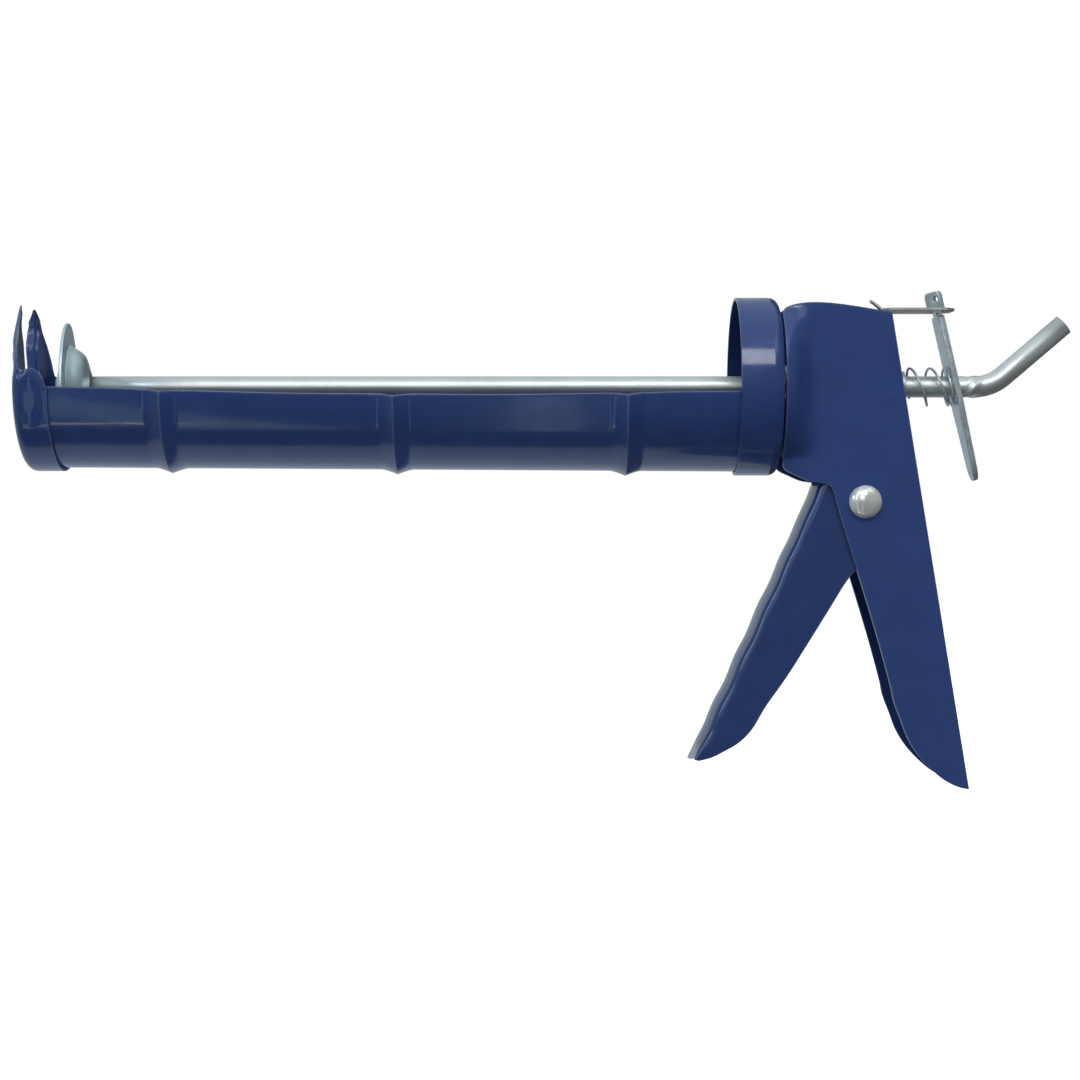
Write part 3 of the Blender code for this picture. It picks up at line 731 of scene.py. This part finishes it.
def make_rod():
    points = [(x, 0, 0) for x in (ROD_FRONT_X, -100, -50, 0, 50, 100, 125)]
    points += [(FINE_FROM_X + FINE_STEP * i, 0, 0) for i in range(20)]
    for i in range(25):
        a = HOOK_ANGLE * i / 24
        points.append((HOOK_X + HOOK_R * math.sin(a), 0, HOOK_R * (1 - math.cos(a))))
    end = Vector(points[-1]) + HOOK_LENGTH * Vector((math.cos(HOOK_ANGLE), 0, math.sin(HOOK_ANGLE)))
    rod = wire("push_rod_bar", points + [tuple(end)], ROD_R, 12)
    for vertex in rod.data.vertices:
        x = (vertex.co.x - ZERO.x) / MM
        rise = max(0.0, HOOK_R - math.sqrt(max(HOOK_R ** 2 - (x - HOOK_X) ** 2, 0)))
        middle = rise * MM if x > HOOK_X else 0.0
        squash = math.exp(-((x - CRIMP_X) / CRIMP_REACH) ** 2)
        round_angle = math.atan2(vertex.co.z - ZERO.z - middle, vertex.co.y)
        dent = CRIMP_DENT * squash * math.sin(4 * round_angle + 1.3 * x)
        vertex.co.y *= 1 + CRIMP_WIDER * squash + dent
        vertex.co.z = ZERO.z + middle + (vertex.co.z - ZERO.z - middle) * (1 + dent)
    finish_piece(rod, "rod", drawn_steel("rod_look", metallic=0.88), "push_rod", slot="rod_steel")


def make_pusher():
    centre = ZERO + PUSHER_AT * MM
    turn = Matrix.Translation(centre) @ Matrix.Rotation(PUSHER_YAW, 4, "Z") @ Matrix.Translation(-centre)
    back = [(0.5, 3.5), (0.5, 18.9)]
    rim = arc((0.2, 18.9), 0.3, 0, 90, 3) + arc((-0.2, 18.9), 0.3, 90, 180, 3)
    recess = [(-0.5, 6.5), (-0.25, 6.2), (-0.25, 3.5)]
    disc = turned("pusher_plate", back + rim + recess, PUSHER_AT, steps=144, width=0.06)
    bowl = smooth_through([(0.55, 12.8), (2.1, 11.7), (3.8, 10.7), (5.3, 9.2), (6.2, 6.6), (6.9, 4.2)], 4)
    inside = [(6.1, 4.2), (5.2, 6.6), (4.4, 8.6), (2.4, 10.2), (0.55, 11.4)]
    cone = turned("pusher_cone", bowl + inside, PUSHER_AT, steps=96, width=0.2)
    for piece, node, slot in ((disc, "pusher_disc", "disc_zinc"), (cone, "pusher_hub", "hub_zinc")):
        piece.data.transform(turn)
        look = zinc(slot + "_look", (0.64, 0.80, 0.84), 0.0, (0.34, 0.42), 0.92)
        finish_piece(piece, "pusher", look, node, slot=slot)


# ---------------------------------------------------------------- release

def circle(centre, radius, count=48, stretch=1.0):
    turns = [2 * math.pi * i / count for i in range(count)]
    return [(centre[0] + radius * math.cos(a), centre[1] + radius * stretch * math.sin(a)) for a in turns]


def join(first, second):
    """Add the second piece's mesh to the first."""
    work = bmesh.new()
    work.from_mesh(first.data)
    work.from_mesh(second.data)
    work.to_mesh(first.data)
    work.free()
    bpy.data.objects.remove(second)


def make_lever():
    side = 6.6
    right = [(3.0, 0.3), (3.0, -1.2), (3.3, -1.6), (side - 0.5, -1.8), (side, -2.3), (side, -28.0)]
    lower = [(side, -28.0), (5.5, -38.0), (4.6, -47.0), (3.6, -50.6), (1.9, -52.3), (0.0, -52.7)]
    right += smooth_through(lower, 6)[1:]
    outline = right + [(-y, z) for y, z in reversed(right[:-1])]
    hole = circle((0, -23.6), 3.65, 48, 1.09)
    lever = plate("release_thumb_plate", [outline, hole], LEVER_T, LEVER_PIVOT, -LEVER_TILT, 0.3)
    end = [
        (-3.0, 0.36), (3.0, 0.36), (3.0, 4.6), (2.6, 5.5),
        (1.8, 5.8), (-1.8, 5.8), (-2.6, 5.5), (-3.0, 4.6),
    ]
    small_hole = circle((-1.2, 3.4), 1.0, 24)
    tongue = plate(
        "release_tongue", [end, small_hole], LEVER_T, LEVER_PIVOT, -LEVER_TILT, 0.25, TONGUE_TWIST
    )
    join(lever, tongue)
    look = zinc("lever_look", (0.64, 0.73, 0.75), speckle=0.45)
    finish_piece(lever, "release", look, "release_lever", slot="lever_zinc")


def make_bracket():
    stations = [         # X, how far the strip has turned up, and its half width
        (100.0, 2.9, 1.4), (100.9, 2.35, 1.6), (101.9, 1.6, 1.8), (102.8, 0.75, 1.9), (103.5, 0.25, 2.2),
        (103.9, 0.05, 5.0), (104.4, 0.0, 7.8), (105.2, 0.0, 8.2), (108.5, 0.0, 8.2), (112.4, 0.0, 8.2),
        (118.0, 0.0, 8.2), (119.8, 0.0, 8.2), (121.7, 0.0, 8.2), (122.4, 0.0, 7.9), (123.8, 0.0, 5.6),
        (124.7, 0.0, 4.2),
    ]
    shares = (-1.0, -0.8, -0.5, -0.25, 0.0, 0.25, 0.5, 0.8, 1.0)
    outer = [(x, -half * s, BRACKET_Z + rise) for x, rise, half in stations for s in shares]
    inner = [(x, y, z - BRACKET_T) for x, y, z in outer]

    def keep(r, c):
        in_slot = stations[r][0] >= 118.0 and stations[r + 1][0] <= 121.7 and 2 <= c <= 5
        return not in_slot

    piece = shell("release_strip", outer, inner, grid_faces(len(stations), len(shares), keep), 0.12)
    look = zinc("bracket_look", (0.62, 0.60, 0.57), 0.3, (0.34, 0.5))
    finish_piece(piece, "frame", look, "release_bracket", slot="bracket_zinc")


def coil(name, spots, coil_r, wire_r, start_angle, lean=0.0):
    """A coil through (turn, X) spots: the pitch changes where the spots say, and the turns lean."""
    points = []
    total = spots[-1][0]
    count = round(total * 36)
    for i in range(count + 1):
        turn = total * i / count
        a = start_angle + 2 * math.pi * turn
        z = coil_r * math.sin(a)
        points.append((between(spots, turn) - lean * z, coil_r * math.cos(a), z))
    return wire(name, points, wire_r, 4)


def make_springs():
    spots = [(0, 111.9), (0.35, 113.0), (1.35, 119.1), (1.85, 122.5), (2.35, 123.6), (3.1, 123.8)]
    release = coil("release_coil", spots, 5.6, 0.37, -0.628, 0.21)
    look = zinc("release_spring_look")
    finish_piece(release, "frame", look, "release_spring", slot="release_spring_zinc")
    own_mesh(release)
    drive = coil("drive_coil", [(0, 73.7), (0.5, 74.3), (3.3, 91.4), (3.8, 92.0)], 6.2, 0.45, 0.4)
    look = drawn_steel("drive_spring_look", (0.5, 0.51, 0.52))
    finish_piece(drive, "frame", look, "drive_spring", slot="drive_spring_steel")
    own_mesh(drive)


def dress_cad_nodes():
    """CAD pieces whose shape is already right get their finish."""
    looks = {
        "front_rod_guide": zinc("front_guide_look"),
        "rivet_washer": zinc("washer_look"),
        "pivot_sleeve": drawn_steel("sleeve_look", (0.5, 0.5, 0.51)),
        "grip_plate_front": drawn_steel("grip_front_look", (0.42, 0.43, 0.44)),
        "grip_plate_rear": drawn_steel("grip_rear_look", (0.42, 0.43, 0.44)),
        "rod_end_nut": zinc("nut_look"),
    }
    for name, look in looks.items():
        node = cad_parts[name]
        node.data.materials.clear()
        node.data.materials.append(look)


# ---------------------------------------------------------------- studio

def area_light(name, place, size, radiance, glossy=True, diffuse=True, colour=(1, 1, 1)):
    """A rectangular light, placed in metres from the rod's zero, aimed at it and never seen itself."""
    light = bpy.data.lights.new(name, "AREA")
    light.shape = "RECTANGLE"
    light.size, light.size_y = size
    light.energy = 4 * radiance * size[0] * size[1]
    light.color = colour
    lamp = bpy.data.objects.new(name, light)
    lamp.location = ZERO + Vector(place)
    lamp.rotation_euler = (-Vector(place)).to_track_quat("-Z", "Y").to_euler()
    lamp.visible_camera = False
    lamp.visible_glossy = glossy
    lamp.visible_diffuse = diffuse
    bpy.context.scene.collection.objects.link(lamp)


def make_world():
    """White to the eye. The paint sees a bright back, a dim ceiling, and a dark room on the near side."""
    world = bpy.data.worlds.new("studio")
    world.use_nodes = True
    bpy.context.scene.world = world
    tree = world.node_tree
    seen = tree.nodes["Background"]
    seen.inputs["Color"].default_value = (1, 1, 1, 1)
    seen.inputs["Strength"].default_value = 1.0
    lit = tree.nodes.new("ShaderNodeBackground")
    lit.inputs["Color"].default_value = (0.88, 1.0, 1.08, 1)
    coordinates = tree.nodes.new("ShaderNodeTexCoord")
    split = tree.nodes.new("ShaderNodeSeparateXYZ")
    tree.links.new(coordinates.outputs["Generated"], split.inputs[0])

    def ramp(side, low, high, to_low, to_high):
        node = tree.nodes.new("ShaderNodeMapRange")
        node.interpolation_type = "SMOOTHSTEP"
        for name, number in zip(("From Min", "From Max", "To Min", "To Max"), (low, high, to_low, to_high)):
            node.inputs[name].default_value = number
        tree.links.new(split.outputs[side], node.inputs["Value"])
        return node.outputs["Result"]

    def combine(kind, first, *others):
        for other in others:
            node = tree.nodes.new("ShaderNodeMath")
            node.operation = kind
            tree.links.new(first, node.inputs[0])
            tree.links.new(other, node.inputs[1])
            first = node.outputs[0]
        return first

    back = combine("MULTIPLY", ramp("Y", -0.02, 0.12, 0.0, 0.5), ramp("X", 0.08, 0.18, 1.0, 0.1))
    above = ramp("Z", 0.45, 0.9, 0.0, 0.6)
    side = combine("MAXIMUM", ramp("Y", 0.2, 0.5, 1.0, 0.2), ramp("X", 0.1, 0.25, 1.0, 0.2))
    horizon = combine("MULTIPLY", ramp("Z", -0.35, 0.1, 0.05, 0.17), side)
    left = ramp("X", -0.9, -0.35, 0.3, 0.0)
    tree.links.new(combine("MAXIMUM", back, above, horizon, left), lit.inputs["Strength"])
    path = tree.nodes.new("ShaderNodeLightPath")
    mix = tree.nodes.new("ShaderNodeMixShader")
    tree.links.new(path.outputs["Is Camera Ray"], mix.inputs["Fac"])
    tree.links.new(lit.outputs[0], mix.inputs[1])
    tree.links.new(seen.outputs[0], mix.inputs[2])
    tree.links.new(mix.outputs[0], tree.nodes["World Output"].inputs["Surface"])


FLOOR_DROP, FLOOR_FRONT, FLOOR_SIZE = 0.35, -0.03, 6.0         # in metres


def make_floor():
    mesh = bpy.data.meshes.new("floor")
    height, front, size = cad_box[0].z - FLOOR_DROP, FLOOR_FRONT, FLOOR_SIZE
    corners = [(-size, front, height), (size, front, height), (size, size, height), (-size, size, height)]
    mesh.from_pydata(corners, [], [(0, 1, 2, 3)])
    floor = bpy.data.objects.new("floor", mesh)
    bpy.context.scene.collection.objects.link(floor)
    nodes = Nodes("floor_white")
    nodes.put(Base_Color=(0.9, 0.9, 0.9, 1), Roughness=0.9)
    nodes.put(Emission_Color=(1, 1, 1, 1), Emission_Strength=0.9)
    mesh.materials.append(nodes.material)
    floor.visible_glossy = False


def make_studio():
    make_world()
    make_floor()
    area_light("collar_box", (0.17, -0.97, 0.72), (0.14, 0.42), 4.5)
    area_light("window", (-0.18, -1.9, 0.98), (0.70, 1.65), 1.2, diffuse=False)
    area_light("right_window", (0.75, -0.85, 1.2), (0.9, 0.8), 0.45, diffuse=False)
    area_light("disc_card", (-0.58, -1.0, 0.6), (0.22, 1.0), 1.6, diffuse=False)
    area_light("left_card", (-0.33, -0.76, -0.58), (0.12, 1.02), 0.5, diffuse=False, colour=(0.8, 1.1, 1.0))
    area_light("left_card_edge", (-0.34, -0.58, -0.88), (0.14, 0.03), 3.0, diffuse=False)
    area_light("middle_card", (0.001, -0.74, -0.6), (0.05, 0.9), 0.65, diffuse=False,
               colour=(0.85, 1.05, 1.0))
    area_light("left_strip", (-1.18, -0.75, 0.53), (0.2, 0.35), 6.0, diffuse=False, colour=(0.7, 0.95, 1.2))
    area_light("near_fill", (0.0, -1.15, 1.15), (2.0, 0.9), 3.2, glossy=False)
    area_light("low_fill", (0.0, -1.4, -0.5), (2.0, 0.8), 0.55, glossy=False)


CAMERA_AT, CAMERA_AIM = Vector((0.0, -690.0, -28.2)), Vector((0.0, 0.0, -46.4))
SENSOR_WIDTH, LENS = 36.0, 75.8


def make_camera():
    data = bpy.data.cameras.new("camera")
    data.sensor_width = SENSOR_WIDTH
    data.lens = LENS
    data.clip_start, data.clip_end = 0.01, 20.0
    camera = bpy.data.objects.new("camera", data)
    camera.location = ZERO + CAMERA_AT * MM
    camera.rotation_euler = (CAMERA_AIM - CAMERA_AT).to_track_quat("-Z", "Y").to_euler()
    bpy.context.scene.collection.objects.link(camera)
    bpy.context.scene.camera = camera
    bpy.context.scene.view_settings.view_transform = "Standard"


make_camera()
make_cradle()
make_nose_cap()
make_collar()
make_handle_frame()
make_rear_guide()
make_rivet()
make_trigger()
make_rod()
make_pusher()
make_lever()
make_bracket()
make_springs()
dress_cad_nodes()
make_studio()
